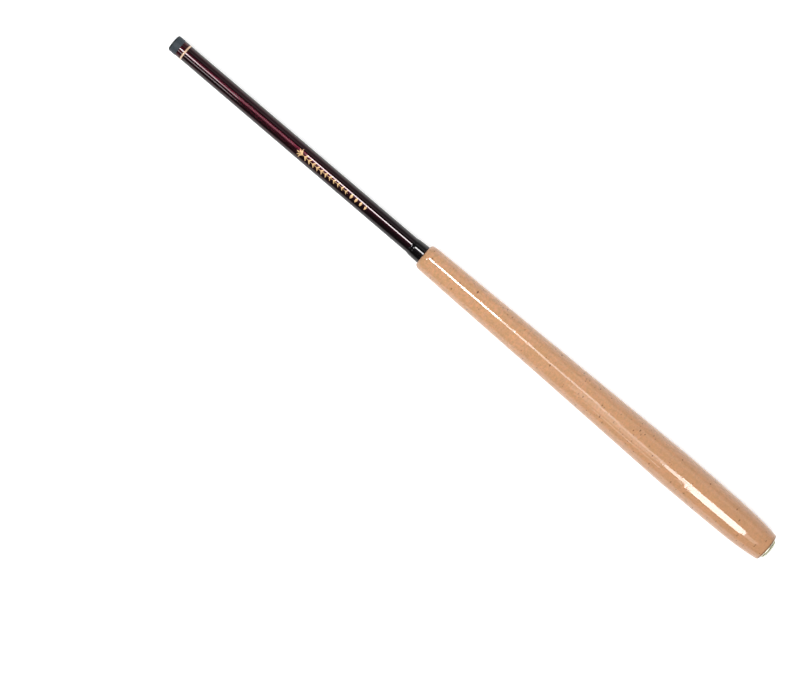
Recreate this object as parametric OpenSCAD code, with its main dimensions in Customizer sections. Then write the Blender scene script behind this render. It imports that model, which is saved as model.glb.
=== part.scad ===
// Collapsible fly rod without a reel, drawn closed. The rod axis lies along +X.
// X = 0 is the rear face of the butt cap; the tip plug ends the closed rod at the other end.

/* [Blank] */
// Distance from the rear face of the butt cap to the mouth of the handle section
handle_mouth_x = 554.4; // [541:0.1:567]
// Outer diameter of the handle section at its mouth
mouth_d = 12.36; // [12:0.01:13]
// Diameter of the solid tip at its thin end
tip_d = 0.76; // [0.6:0.02:0.9]
// Wall of the handle section
handle_wall = 0.75; // [0.65:0.01:0.8]
// Wall of the second section
wall_second = 0.47; // [0.4:0.01:0.5]
// Wall of the last hollow section
wall_last = 0.28; // [0.25:0.01:0.3]
// Radial clearance left at each seat when the rod is drawn out
seat_clearance = 0.03; // [0.02:0.01:0.05]

/* [Inner sections] */
// Gap between the plug's stem and the tip of the rod when closed
tip_gap = 3; // [2:0.5:5]
// How far each further section's mouth stands past the one around it
mouth_stagger = 1; // [0.6:0.1:1.4]
// How far the tip stands past the mouth of the last hollow section
tip_stick_out = 8; // [7:0.5:9]
// Length of the second section that stays in the handle section when drawn out
overlap_first = 97.4; // [91:0.1:105]
// How much shorter each further overlap is
overlap_step = 5.45; // [4.5:0.05:6.5]

/* [Line cord] */
// Wall of the braided line cord where it is bonded over the tip
lilian_wall = 0.27; // [0.2:0.01:0.35]
// Length of the cord bonded over the tip
lilian_bond_l = 6; // [5:0.5:7]
// Gap between the free end of the cord and the bottom of the plug's hollow
lilian_end_gap = 1.8; // [1:0.1:3]
// Height of the stop knot over the cord
knot_rise = 0.5; // [0.3:0.05:0.7]
// Length of cord left past the middle of the knot
knot_tail_l = 3; // [2:0.5:4]
// Wall of the sleeve over the bonded joint
sleeve_wall = 0.25; // [0.2:0.05:0.4]
// How far the sleeve reaches past the tip
sleeve_past_tip = 1.5; // [1:0.5:2.5]

/* [Grip] */
// Number of cork rings
cork_rings = 26; // [24:1:28]
// Length of one whole cork ring
ring_l = 12.7; // [12.3:0.1:13.1]
// Length cut from the ring at the butt
butt_trim = 2.95; // [2:0.05:5]
// Length cut from the ring at the front
front_trim = 4.05; // [2:0.05:5]
// Diameter of the grip at its butt edge
grip_butt_d = 21.7; // [20.5:0.1:23.5]
// Growth of the radius per millimetre at the butt edge
grip_butt_slope = 0.17; // [0.12:0.01:0.2]
// Diameter of the grip at the heel
grip_heel_d = 27; // [25.5:0.1:27.7]
// Distance from the butt edge to the heel
grip_heel_u = 29.4; // [23:0.1:35]
// Growth of the radius per millimetre at the heel
grip_heel_slope = 0.022; // [0.01:0.001:0.03]
// Largest diameter of the grip
grip_belly_d = 28.3; // [27.8:0.1:29.6]
// Distance from the butt edge to the largest diameter
grip_belly_u = 84; // [77:0.5:91]
// Diameter where the taper starts
grip_taper_d = 27.2; // [26.4:0.02:27.7]
// Distance from the butt edge to the start of the taper
grip_taper_u = 118.4; // [113:0.1:127]
// Diameter where the taper turns gentler
grip_mid_d = 24.1; // [23.6:0.1:24.6]
// Distance from the butt edge to where the taper turns gentler
grip_mid_u = 200; // [180:1:220]
// Diameter of the grip at its front end, before the shoulder is rounded
grip_front_d = 20.2; // [19.3:0.1:21.2]
// Length of the rounded front shoulder
shoulder_l = 5.5; // [4:0.1:7]
// Height of the rounded front shoulder
shoulder_h = 2.2; // [1.6:0.05:2.3]
// Radius of the corner at the butt edge
butt_round = 0.9; // [0.5:0.1:1.4]

/* [Winding check] */
// Length of the winding check
check_l = 11.2; // [9:0.1:14]
// Thickness of the winding check against the grip
check_rear_t = 0.83; // [0.6:0.01:1.1]
// Thickness of the winding check where its front starts to fall
check_front_t = 0.54; // [0.4:0.01:0.7]
// Length over which the front falls to the blank
check_fall_l = 3.3; // [2.5:0.1:4.5]
// Thickness of the thin front edge
check_edge = 0.07; // [0.05:0.01:0.12]

/* [Tip wrap] */
// Length of the thread wrap at the mouth
wrap_l = 4.15; // [3:0.05:6]
// Thickness of the thread wrap
wrap_t = 0.10; // [0.08:0.01:0.14]
// Length of the gold band
band_l = 1.25; // [0.9:0.05:2]
// Thickness of the gold band
band_t = 0.08; // [0.06:0.01:0.12]

/* [Tip plug] */
// Length of the plug's head
plug_head_l = 6.7; // [5:0.1:9]
// How far the plug's head stands out past the mouth all round
plug_lip = 0.2; // [0.1:0.02:0.4]
// Corner radius of the plug's head
plug_round = 1.4; // [0.8:0.1:2]
// Length of the stem inside the mouth
plug_stem_l = 12; // [10:0.5:13.5]
// Radial gap between the stem and the bore of the handle section
plug_stem_gap = 0.23; // [0.15:0.01:0.35]
// Wall of the stem around its hollow
plug_wall = 1.7; // [1.4:0.1:2.2]
// Thickness left at the closed end of the plug
plug_end_t = 2.4; // [2:0.1:3]
// Thickness of the plug's sealing ring
plug_ring_t = 0.8; // [0.7:0.05:0.9]

/* [Butt cap] */
// Thickness of the flange
flange_t = 2.6; // [2.2:0.1:3]
// How far the flange reaches past the insert all round
flange_lap = 0.2; // [0.1:0.05:0.5]
// Radius of the flange's rear edge
flange_round = 2.2; // [1.6:0.1:2.2]
// Width of the coin slot
slot_w = 2; // [1.6:0.1:2.4]
// Depth of the coin slot
slot_depth = 1.2; // [0.8:0.1:1.4]
// Distance from each end of the coin slot to the rounded edge
slot_end = 1.1; // [0.6:0.1:2]
// Gap between the flange and the insert
flange_gap = 0.1; // [0.05:0.05:0.2]
// How far the neck that carries the sealing ring is cut in below the thread
neck_depth = 0.95; // [0.8:0.05:1.1]
// Thickness of the cap's sealing ring
cap_ring_t = 1; // [0.9:0.05:1.1]
// Length of the threaded part
thread_l = 6.5; // [5:0.1:7]
// Radial gap between the nose that carries the pad and the bore of the blank
nose_gap = 0.49; // [0.3:0.01:0.6]
// Distance from the butt end of the blank to the face of the pad
pad_past_blank = 1.8; // [1.5:0.1:2.4]
// Thickness of the pad
pad_t = 2.2; // [2:0.1:2.8]

/* [Butt insert] */
// Wall of the insert around the seat of the sealing ring
insert_wall = 0.85; // [0.7:0.05:1]
// Height of the step that the butt end of the blank stands on
blank_step = 0.14; // [0.1:0.01:0.2]
// Length of the threaded bore past the cap's thread
thread_runout = 2; // [1.5:0.1:3]
// Number of cork rings that the insert reaches under
insert_rings = 2; // [2:1:3]
// Gap around the sealing ring in its seat
ring_seat_gap = 0.2; // [0.15:0.01:0.3]

/* [Fits] */
// Radial thickness of every glue line
glue_line = 0.03; // [0.02:0.01:0.06]
// Radial clearance of the screw thread
thread_clearance = 0.06; // [0.04:0.01:0.08]
// Radial clearance between a sealing ring and the wall it slides on
seal_clearance = 0.03; // [0.02:0.01:0.05]

/* [Hidden] */
last_hollow = 7;
tip_number = last_hollow + 1;
smooth = 96;
seal_smooth = 32;
ring_steps = 4;
corner_steps = 6;
fall_steps = 8;

// Places along the axis, from the butt
cork_butt_x = flange_t + flange_gap;
thread_rear_x = cork_butt_x + cap_ring_t + ring_seat_gap;
thread_front_x = thread_rear_x + thread_l;
blank_butt_x = thread_front_x + thread_runout;
section_base_x = blank_butt_x + pad_past_blank;
nose_front_x = section_base_x - pad_t;
grip_l = cork_rings * ring_l - butt_trim - front_trim;
grip_front_x = cork_butt_x + grip_l;
band_rear_x = handle_mouth_x - wrap_l - band_l;
plug_groove_mid_x = handle_mouth_x - plug_stem_l / 2;
plug_hollow_end_x = handle_mouth_x + plug_head_l - plug_end_t;

// Start and end of cork ring i, counted from the butt
function ring_rear(i) = i == 1 ? cork_butt_x : ring_front(i - 1);
function ring_front(i) = i == cork_rings ? grip_front_x : cork_butt_x + i * ring_l - butt_trim;
insert_front_x = ring_front(insert_rings);

// Section 1 is the handle section, and the solid tip is the last one
function mouth_x(k) =
    k == 1 ? handle_mouth_x :
    k == tip_number ? handle_mouth_x - plug_stem_l - tip_gap :
    mouth_x(tip_number) - tip_stick_out - (last_hollow - k) * mouth_stagger;
function overlap(k) = overlap_first - overlap_step * (k - 2);
function travel(k) = mouth_x(k - 1) - section_base_x - overlap(k);
function wall(k) =
    k == 1 ? handle_wall :
    wall_second + (wall_last - wall_second) * (k - 2) / (last_hollow - 2);

function sum_of(values, i = 0) = i < len(values) ? values[i] + sum_of(values, i + 1) : 0;

// Thickness of all walls and clearances between the outside of the handle section and the tip
wall_steps = sum_of([for (k = [1 : last_hollow]) wall(k) + seat_clearance]);

// Place of the thin end of the tip when every section is drawn out
drawn_out_x = mouth_x(tip_number) + sum_of([for (k = [2 : tip_number]) travel(k)]);

// Growth of a section's radius per millimetre towards the butt. All sections share it, so
// each wedges evenly in the mouth of the one around it.
slope = ((mouth_d - tip_d) / 2 - wall_steps) / (drawn_out_x - handle_mouth_x);
function outer_r(k, x) =
    k == 1 ? mouth_d / 2 + slope * (handle_mouth_x - x) :
    inner_r(k - 1, x) - seat_clearance - slope * travel(k);
function inner_r(k, x) = outer_r(k, x) - wall(k);

tip_end_x = mouth_x(tip_number);
lilian_rear_x = tip_end_x - lilian_bond_l;
lilian_end_x = plug_hollow_end_x - lilian_end_gap;
lilian_bore_r = outer_r(tip_number, lilian_rear_x) + glue_line;
lilian_r = lilian_bore_r + lilian_wall;
knot_r = lilian_r + knot_rise;
knot_x = lilian_end_x - knot_tail_l;

// Radii of the tip plug, from the bore of the handle section
plug_head_r = mouth_d / 2 + plug_lip;
plug_stem_r = inner_r(1, handle_mouth_x) - plug_stem_gap;
plug_hollow_r = plug_stem_r - plug_wall;
plug_ring_r = inner_r(1, plug_groove_mid_x) - seal_clearance - plug_ring_t / 2;
plug_groove_w = plug_ring_t + 2 * seal_clearance;

// Radii of the butt cap and the insert, from the butt end of the blank
blank_seat_r = outer_r(1, blank_butt_x) + glue_line;
insert_bore_r = outer_r(1, blank_butt_x) - blank_step;
thread_r = insert_bore_r - thread_clearance;
neck_r = thread_r - neck_depth;
nose_r = inner_r(1, blank_butt_x) - nose_gap;
cap_ring_r = neck_r + seal_clearance + cap_ring_t / 2;
cap_ring_x = flange_t + seal_clearance + cap_ring_t / 2;
ring_seat_r = neck_r + cap_ring_t + ring_seat_gap + seal_clearance;
insert_r = ring_seat_r + insert_wall;
flange_r = insert_r + flange_lap;
land_r = flange_r - flange_round;
slot_l = 2 * (land_r - slot_end);
slot_past = 1;

// Cubic curve through two stations, each with a radius and a slope
function blend_r(u, u0, r0, m0, u1, r1, m1) =
    let (h = u1 - u0, t = (u - u0) / h)
    r0 * (2 * t * t * t - 3 * t * t + 1)
    + m0 * h * (t * t * t - 2 * t * t + t)
    + r1 * (3 * t * t - 2 * t * t * t)
    + m1 * h * (t * t * t - t * t);

// Growth of the radius per millimetre over each part of the taper
grip_taper_slope = (grip_mid_d - grip_taper_d) / 2 / (grip_mid_u - grip_taper_u);
grip_front_slope = (grip_front_d - grip_mid_d) / 2 / (grip_l - grip_mid_u);

// Radius of the grip at a place along the axis, without its rounded ends
function grip_r(x) =
    let (u = x - cork_butt_x)
    u < grip_heel_u ?
        blend_r(u, 0, grip_butt_d / 2, grip_butt_slope,
                grip_heel_u, grip_heel_d / 2, grip_heel_slope) :
    u < grip_belly_u ?
        blend_r(u, grip_heel_u, grip_heel_d / 2, grip_heel_slope,
                grip_belly_u, grip_belly_d / 2, 0) :
    u < grip_taper_u ?
        blend_r(u, grip_belly_u, grip_belly_d / 2, 0,
                grip_taper_u, grip_taper_d / 2, grip_taper_slope) :
    u < grip_mid_u ?
        grip_taper_d / 2 + (u - grip_taper_u) * grip_taper_slope :
    grip_mid_d / 2 + (u - grip_mid_u) * grip_front_slope;

// Radius of the winding check over its falling front, an S-shaped curve
function check_fall_r(t) =
    let (
        low = outer_r(1, grip_front_x + check_l) + check_edge,
        high = outer_r(1, grip_front_x + check_l - check_fall_l) + check_front_t)
    low + (high - low) * (1 + cos(180 * t)) / 2;

// Points of the rounded butt edge and of the rounded front shoulder
function butt_corner() =
    let (r = grip_r(cork_butt_x + butt_round))
    [for (i = [0 : corner_steps - 1])
        let (a = 90 * i / corner_steps)
        [r - butt_round * (1 - sin(a)), cork_butt_x + butt_round * (1 - cos(a))]];
function front_shoulder() =
    let (r = grip_r(grip_front_x - shoulder_l))
    [for (i = [1 : corner_steps])
        let (a = 90 * i / corner_steps)
        [r - shoulder_h * (1 - cos(a)), grip_front_x - shoulder_l * (1 - sin(a))]];

function two_digits(i) = str(i < 10 ? "0" : "", i);
function ring_name(i) = str("cork_ring_", two_digits(i));
function section_name(k) = str("section_", k);

// A body of revolution about the rod axis, from points of radius and place along X
module turned(outline) {
    rotate([0, 90, 0])
        rotate_extrude($fn = smooth)
            polygon(outline);
}

// A tube whose outer and inner walls run straight between its two ends
module turned_tube(rear_x, rear_out, rear_in, front_x, front_out, front_in) {
    turned([
        [rear_in, rear_x],
        [rear_out, rear_x],
        [front_out, front_x],
        [front_in, front_x]]);
}

// A round ring of round cross-section about the rod axis
module sealing_ring(mid_x, mid_r, thickness) {
    translate([mid_x, 0, 0])
        rotate([0, 90, 0])
            rotate_extrude($fn = smooth)
                translate([mid_r, 0])
                    circle(d = thickness, $fn = seal_smooth);
}

// Hollow section k, open at both ends
module hollow_section(k, rear_x) {
    turned_tube(
        rear_x, outer_r(k, rear_x), inner_r(k, rear_x),
        mouth_x(k), outer_r(k, mouth_x(k)), inner_r(k, mouth_x(k)));
}

module handle_section() {
    color([0.10, 0.03, 0.04])
        hollow_section(1, blank_butt_x);
}

module inner_section(k) {
    color([0.08, 0.07, 0.08])
        hollow_section(k, section_base_x);
}

module tip_section() {
    color([0.07, 0.06, 0.07])
        turned([
            [0, section_base_x],
            [outer_r(tip_number, section_base_x), section_base_x],
            [outer_r(tip_number, tip_end_x), tip_end_x],
            [0, tip_end_x]]);
}

// The cord's rear end is a tube over the tip; the knot is a round bulge near its free end
module lilian() {
    knot_steps = 2 * corner_steps;
    knot_end = asin(lilian_r / knot_r);
    knot_start = 180 - knot_end;
    color([0.75, 0.10, 0.08])
        turned(concat(
            [[0, tip_end_x], [lilian_bore_r, tip_end_x]],
            [[lilian_bore_r, lilian_rear_x], [lilian_r, lilian_rear_x]],
            [for (i = [0 : knot_steps])
                let (a = knot_start + (knot_end - knot_start) * i / knot_steps)
                [knot_r * sin(a), knot_x + knot_r * cos(a)]],
            [[lilian_r, lilian_end_x], [0, lilian_end_x]]));
}

module lilian_sleeve() {
    bore_r = lilian_r + glue_line;
    front_x = tip_end_x + sleeve_past_tip;
    color([0.05, 0.05, 0.05])
        turned_tube(
            lilian_rear_x, bore_r + sleeve_wall, bore_r,
            front_x, bore_r + sleeve_wall, bore_r);
}

// Cork ring i, bored for the blank or for the insert
module cork_ring(i) {
    first = i == 1;
    last = i == cork_rings;
    rear_x = ring_rear(i);
    front_x = ring_front(i);
    body_rear = first ? rear_x + butt_round : rear_x;
    body_front = last ? front_x - shoulder_l : front_x;
    seat_r = i <= insert_rings ? insert_r : outer_r(1, rear_x);
    bore_r = seat_r + glue_line;
    color(i % 2 == 0 ? [0.85, 0.65, 0.47] : [0.82, 0.62, 0.44])
        turned(concat(
            [[bore_r, rear_x]],
            first ? butt_corner() : [],
            [for (j = [0 : ring_steps])
                let (x = body_rear + (body_front - body_rear) * j / ring_steps)
                [grip_r(x), x]],
            last ? front_shoulder() : [],
            [[bore_r, front_x]]));
}

module winding_check() {
    bore_r = outer_r(1, grip_front_x) + glue_line;
    rear_r = outer_r(1, grip_front_x) + check_rear_t;
    front_x = grip_front_x + check_l;
    color([0.04, 0.03, 0.04])
        turned(concat(
            [[bore_r, grip_front_x], [rear_r, grip_front_x]],
            [for (i = [0 : fall_steps])
                let (t = i / fall_steps)
                [check_fall_r(t), front_x - check_fall_l * (1 - t)]],
            [[bore_r, front_x]]));
}

// A thin band around the blank, bored to the blank's own taper
module blank_band(rear_x, length, thickness) {
    front_x = rear_x + length;
    turned_tube(
        rear_x, outer_r(1, rear_x) + thickness, outer_r(1, rear_x) + glue_line,
        front_x, outer_r(1, front_x) + thickness, outer_r(1, front_x) + glue_line);
}

module tip_wrap() {
    color([0.30, 0.02, 0.06])
        blank_band(handle_mouth_x - wrap_l, wrap_l, wrap_t);
}

module gold_band() {
    color([0.83, 0.66, 0.32])
        blank_band(band_rear_x, band_l, band_t);
}

// The insert carries the cap's thread at the rear and holds the butt end of the blank
module butt_insert() {
    color([0.72, 0.72, 0.70])
        turned([
            [ring_seat_r, cork_butt_x],
            [insert_r, cork_butt_x],
            [insert_r, insert_front_x],
            [blank_seat_r, insert_front_x],
            [blank_seat_r, blank_butt_x],
            [insert_bore_r, blank_butt_x],
            [insert_bore_r, thread_rear_x],
            [ring_seat_r, thread_rear_x]]);
}

module cap_o_ring() {
    color([0.06, 0.06, 0.06])
        sealing_ring(cap_ring_x, cap_ring_r, cap_ring_t);
}

// Flange with a rounded rear edge, neck, threaded part and nose, turned in one piece
module butt_cap() {
    color([0.80, 0.77, 0.66])
        difference() {
            turned(concat(
                [[0, 0]],
                [for (i = [0 : corner_steps])
                    let (a = 90 * i / corner_steps)
                    [land_r + flange_round * sin(a), flange_round * (1 - cos(a))]],
                [[flange_r, flange_t],
                 [neck_r, flange_t],
                 [neck_r, thread_rear_x],
                 [thread_r, thread_rear_x],
                 [thread_r, thread_front_x],
                 [nose_r, thread_front_x],
                 [nose_r, nose_front_x],
                 [0, nose_front_x]]));
            translate([-slot_past, -slot_l / 2, -slot_w / 2])
                cube([slot_depth + slot_past, slot_l, slot_w]);
        }
}

module cap_pad() {
    color([0.10, 0.10, 0.10])
        turned([
            [0, nose_front_x],
            [nose_r, nose_front_x],
            [nose_r, section_base_x],
            [0, section_base_x]]);
}

// Head with rounded edge and hollow stem, with a groove for the sealing ring
module tip_plug() {
    stem_rear_x = handle_mouth_x - plug_stem_l;
    groove_r = plug_ring_r - plug_ring_t / 2;
    groove_rear_x = plug_groove_mid_x - plug_groove_w / 2;
    groove_front_x = plug_groove_mid_x + plug_groove_w / 2;
    end_x = handle_mouth_x + plug_head_l;
    color([0.13, 0.16, 0.20])
        turned(concat(
            [[plug_hollow_r, stem_rear_x],
             [plug_stem_r, stem_rear_x],
             [plug_stem_r, groove_rear_x],
             [groove_r, groove_rear_x],
             [groove_r, groove_front_x],
             [plug_stem_r, groove_front_x],
             [plug_stem_r, handle_mouth_x],
             [plug_head_r, handle_mouth_x]],
            [for (i = [0 : corner_steps])
                let (a = 90 * i / corner_steps)
                [plug_head_r - plug_round * (1 - cos(a)),
                 end_x - plug_round * (1 - sin(a))]],
            [[0, end_x],
             [0, plug_hollow_end_x],
             [plug_hollow_r, plug_hollow_end_x]]));
}

module plug_o_ring() {
    color([0.05, 0.05, 0.05])
        sealing_ring(plug_groove_mid_x, plug_ring_r, plug_ring_t);
}

handle_section();
winding_check();
tip_wrap();
gold_band();
butt_insert();
for (i = [1 : cork_rings])
    cork_ring(i);
cap_o_ring();
butt_cap();
cap_pad();
for (k = [2 : last_hollow])
    inner_section(k);
tip_section();
lilian();
lilian_sleeve();
tip_plug();
plug_o_ring();
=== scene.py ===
"""Looks of a collapsed fixed-line fly rod: cork grip, lacquered blank, screw cap and tip plug."""
import math
import random

import bpy
import numpy as np
from mathutils import Matrix, Vector, noise


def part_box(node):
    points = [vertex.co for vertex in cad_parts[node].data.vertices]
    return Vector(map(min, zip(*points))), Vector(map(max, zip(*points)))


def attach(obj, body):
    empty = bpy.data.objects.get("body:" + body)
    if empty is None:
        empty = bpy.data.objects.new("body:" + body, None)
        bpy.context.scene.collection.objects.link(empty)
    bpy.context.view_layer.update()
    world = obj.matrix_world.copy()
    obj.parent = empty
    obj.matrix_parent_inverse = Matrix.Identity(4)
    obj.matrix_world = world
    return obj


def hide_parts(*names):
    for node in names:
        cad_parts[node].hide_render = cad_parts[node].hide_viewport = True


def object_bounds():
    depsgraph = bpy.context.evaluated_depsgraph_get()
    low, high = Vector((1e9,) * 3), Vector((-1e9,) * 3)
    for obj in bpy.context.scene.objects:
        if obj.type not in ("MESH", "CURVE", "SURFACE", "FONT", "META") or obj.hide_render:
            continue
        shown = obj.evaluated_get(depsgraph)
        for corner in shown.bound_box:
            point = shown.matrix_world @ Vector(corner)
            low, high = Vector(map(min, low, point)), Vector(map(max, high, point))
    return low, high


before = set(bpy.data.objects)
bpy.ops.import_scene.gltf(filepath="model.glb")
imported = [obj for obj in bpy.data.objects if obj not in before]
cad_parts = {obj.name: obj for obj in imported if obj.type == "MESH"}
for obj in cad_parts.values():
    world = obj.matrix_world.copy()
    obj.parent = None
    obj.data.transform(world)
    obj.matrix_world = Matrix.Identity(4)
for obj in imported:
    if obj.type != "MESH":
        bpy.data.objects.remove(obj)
cad_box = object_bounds()

MM = 0.001
PHOTO_W, PHOTO_H = 800, 700

# Camera
# The photograph looks straight down, with the rod lying across it from corner to corner.
CAMERA_HEIGHT = 2.0
VIEW_WIDTH = 0.5734
VIEW_CENTRE = Vector((0.2946, 0.06264, 0))
IMAGE_RIGHT = Vector((-0.7611, -0.6486, 0))
IMAGE_UP = Vector((0.6486, -0.7611, 0))
SENSOR = 36


def make_camera():
    data = bpy.data.cameras.new("camera")
    data.sensor_width = SENSOR
    data.lens = SENSOR * CAMERA_HEIGHT / VIEW_WIDTH
    data.clip_start = 0.01
    data.clip_end = 100
    camera = bpy.data.objects.new("camera", data)
    right, up = IMAGE_RIGHT.normalized(), IMAGE_UP.normalized()
    turn = Matrix((right, up, right.cross(up))).transposed()
    camera.matrix_world = Matrix.Translation(VIEW_CENTRE + Vector((0, 0, CAMERA_HEIGHT))) @ turn.to_4x4()
    bpy.context.scene.collection.objects.link(camera)
    bpy.context.scene.camera = camera


# Node helpers

class Tree:
    """A node tree with short calls for the few nodes that the materials here are made of."""

    def __init__(self, tree):
        self.tree = tree
        tree.nodes.clear()

    def node(self, kind, **settings):
        made = self.tree.nodes.new(kind)
        for name, value in settings.items():
            setattr(made, name, value)
        return made

    def feed(self, socket, value):
        if isinstance(value, bpy.types.NodeSocket):
            self.tree.links.new(value, socket)
        else:
            socket.default_value = value

    def math(self, operation, a, b=0.0, clamp=False):
        made = self.node("ShaderNodeMath", operation=operation, use_clamp=clamp)
        self.feed(made.inputs[0], a)
        self.feed(made.inputs[1], b)
        return made.outputs[0]

    def vector(self, operation, a, b):
        made = self.node("ShaderNodeVectorMath", operation=operation)
        self.feed(made.inputs[0], a)
        self.feed(made.inputs[1], b)
        return made.outputs[0]

    def object_coordinates(self):
        return self.node("ShaderNodeTexCoord").outputs["Object"]

    def noise(self, vector, scale, detail=3.0, roughness=0.5):
        made = self.node("ShaderNodeTexNoise")
        self.feed(made.inputs["Vector"], vector)
        self.feed(made.inputs["Scale"], scale)
        self.feed(made.inputs["Detail"], detail)
        self.feed(made.inputs["Roughness"], roughness)
        return made.outputs["Fac"]

    def mapped(self, value, low, high, to_low=0.0, to_high=1.0, smooth=False):
        made = self.node("ShaderNodeMapRange")
        made.interpolation_type = "SMOOTHSTEP" if smooth else "LINEAR"
        self.feed(made.inputs["Value"], value)
        for name, number in (("From Min", low), ("From Max", high), ("To Min", to_low), ("To Max", to_high)):
            self.feed(made.inputs[name], number)
        return made.outputs["Result"]

    def mix(self, factor, a, b, blend="MIX"):
        made = self.node("ShaderNodeMix", data_type="RGBA", blend_type=blend)
        self.feed(made.inputs[0], factor)
        self.feed(made.inputs[6], a)
        self.feed(made.inputs[7], b)
        return made.outputs[2]

    def bump(self, height, strength, distance):
        made = self.node("ShaderNodeBump")
        self.feed(made.inputs["Height"], height)
        self.feed(made.inputs["Strength"], strength)
        self.feed(made.inputs["Distance"], distance)
        return made.outputs[0]

    def principled(self, **inputs):
        shader = self.node("ShaderNodeBsdfPrincipled")
        for name, value in inputs.items():
            self.feed(shader.inputs[name.replace("_", " ")], value)
        output = self.node("ShaderNodeOutputMaterial")
        self.tree.links.new(shader.outputs[0], output.inputs[0])


def rgb(red, green, blue):
    return (red, green, blue, 1.0)


def new_material(name):
    material = bpy.data.materials.new(name)
    material.use_nodes = True
    return material, Tree(material.node_tree)


def scaled_coordinates(tree, x, y, z):
    """Object coordinates in millimetres, each axis times its own number."""
    return tree.vector("MULTIPLY", tree.object_coordinates(), (x / MM, y / MM, z / MM))


# Materials

CORK_PITCH = 12.7 * MM
CORK_FIRST_X = -0.25 * MM
CORK_BUTT_X = 2.7 * MM


def cork_material():
    """Natural cork cut in rings, under a clear gloss coat."""
    material, t = new_material("clear_coated_cork")
    place = t.object_coordinates()
    split = t.node("ShaderNodeSeparateXYZ")
    t.feed(split.inputs[0], place)
    along = split.outputs[0]

    # Each ring is cut from another piece of bark, so its pattern and its tone differ.
    ring = t.math("FLOOR", t.math("DIVIDE", t.math("SUBTRACT", along, CORK_FIRST_X), CORK_PITCH))
    dice = t.node("ShaderNodeTexWhiteNoise", noise_dimensions="1D")
    t.feed(dice.inputs["W"], ring)
    shift = t.vector("SCALE", dice.outputs["Color"], (0, 0, 0))
    shift.node.inputs["Scale"].default_value = 40.0
    grain_place = t.vector("ADD", t.vector("MULTIPLY", place, (2.2 / MM, 1 / MM, 1 / MM)), shift)
    cell_place = t.vector("ADD", t.vector("MULTIPLY", place, (1.3 / MM, 1 / MM, 1 / MM)), shift)
    patch_place = t.vector("ADD", t.vector("MULTIPLY", place, (1.5 / MM, 1 / MM, 1 / MM)), shift)

    clouds = t.noise(grain_place, 0.13, 2.0)
    patches = t.noise(patch_place, 0.42, 2.0, 0.55)
    fibres = t.noise(grain_place, 0.75, 4.0, 0.62)
    cells = t.noise(cell_place, 1.9, 3.0, 0.6)

    tone = t.mix(t.mapped(clouds, 0.35, 0.65), rgb(0.573, 0.310, 0.152), rgb(0.602, 0.318, 0.186))
    tone = t.mix(t.mapped(patches, 0.53, 0.63, 0, 0.70, smooth=True), tone, rgb(0.712, 0.345, 0.180))
    tone = t.mix(t.mapped(patches, 0.47, 0.37, 0, 0.70, smooth=True), tone, rgb(0.462, 0.267, 0.137))
    tone = t.mix(t.mapped(fibres, 0.52, 0.70, 0, 0.55, smooth=True), tone, rgb(0.45, 0.215, 0.085))
    tone = t.mix(t.mapped(cells, 0.50, 0.70, 0, 0.50, smooth=True), tone, rgb(0.72, 0.440, 0.235))
    tone = t.mix(t.mapped(dice.outputs["Value"], 0, 1, 0, 0.18), tone, rgb(0.46, 0.26, 0.13))

    # The grip is a little darker towards the butt.
    heel = t.mapped(along, 0.01, 0.26, 0.46, 0.0)
    tone = t.mix(heel, tone, rgb(0.41, 0.200, 0.098))

    # The cut edge at the butt is darker over its rounded corner.
    rim = t.mapped(along, CORK_BUTT_X + 0.5 * MM, CORK_BUTT_X + 1.9 * MM, 0.85, 0.0, smooth=True)
    tone = t.mix(rim, tone, rgb(0.19, 0.095, 0.045))

    # Small dark pores, drawn out round the grip
    pores = t.node("ShaderNodeTexVoronoi", feature="F1")
    pore_place = t.vector("MULTIPLY", place, (1.9 / MM, 1 / MM, 1 / MM))
    wobble = t.node("ShaderNodeTexNoise")
    t.feed(wobble.inputs["Vector"], pore_place)
    t.feed(wobble.inputs["Scale"], 1.4)
    bent = t.vector("ADD", pore_place, t.vector("MULTIPLY", wobble.outputs["Color"], (1.1, 1.1, 1.1)))
    t.feed(pores.inputs["Vector"], bent)
    t.feed(pores.inputs["Scale"], 0.26)
    chosen = t.node("ShaderNodeSeparateColor")
    t.feed(chosen.inputs[0], pores.outputs["Color"])
    size = t.mapped(chosen.outputs[0], 0.45, 1.0, 0.0, 0.30)
    pore = t.mapped(t.math("SUBTRACT", pores.outputs["Distance"], size), -0.035, 0.02, 1.0, 0.0, smooth=True)
    pore = t.math("MULTIPLY", pore, t.mapped(chosen.outputs[1], 0.2, 0.9, 0.45, 0.95))
    tone = t.mix(pore, tone, rgb(0.15, 0.062, 0.026))

    fleck = t.mapped(t.noise(grain_place, 2.6, 2.0, 0.5), 0.68, 0.76, 0, 0.6, smooth=True)
    tone = t.mix(fleck, tone, rgb(0.27, 0.125, 0.055))

    height = t.math("SUBTRACT", t.math("MULTIPLY", fibres, 0.4), pore)
    waves = t.noise(t.vector("MULTIPLY", place, (0.7 / MM, 1 / MM, 1 / MM)), 0.35, 2.0, 0.45)
    t.principled(
        Base_Color=tone,
        Roughness=t.mapped(cells, 0, 1, 0.6, 0.75),
        Specular_IOR_Level=0.1,
        Normal=t.bump(height, 0.35, 0.12 * MM),
        Coat_Weight=1.0,
        Coat_Roughness=0.045,
        Coat_IOR=1.55,
        Coat_Normal=t.bump(waves, 0.17, 0.10 * MM),
    )
    return material


FADE_START_X, FADE_END_X = 0.345, 0.44


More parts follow.
